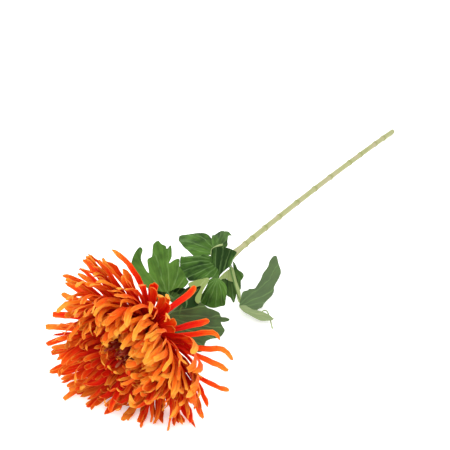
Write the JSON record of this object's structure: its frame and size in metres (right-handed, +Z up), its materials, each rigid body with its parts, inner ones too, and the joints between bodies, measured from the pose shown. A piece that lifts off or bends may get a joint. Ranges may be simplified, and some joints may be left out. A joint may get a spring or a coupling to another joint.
{
  "type": "artificial chrysanthemum",
  "caption": "Artificial chrysanthemum lying on its side: a large incurved bloom of cloth strap petals, lobed cloth leaves and a long ringed plastic stem.",
  "frame": {"origin": "middle of the bottom of the whole part's box, on the surface that the flower lies on", "axes": "+X along the stem from the bloom to the cut end, +Z up"},
  "size_m": [0.6348, 0.1926, 0.1652],
  "materials": {
    "petals": "matt dyed petal cloth, orange with red roots and yellow tips",
    "heart": "matt dyed cloth, dark maroon",
    "calyx": "moulded, satin green",
    "stalk": "moulded over wire, olive green",
    "stem": "moulded over wire, pale yellow-green",
    "leaves": "matt printed leaf cloth, dark green with light veins and a pale underside"
  },
  "bodies": {
    "root": {"bloom": "petals", "heart": "heart", "calyx": "calyx", "stalk": "stalk", "stem": "stem", "leaf_1": "leaves", "leaf_2": "leaves", "leaf_3": "leaves", "leaf_4": "leaves", "leaf_5": "leaves", "leaf_6": "leaves", "leaf_7": "leaves", "leaf_8": "leaves", "leaf_9": "leaves", "leaf_10": "leaves"}
  },
  "joints": []
}
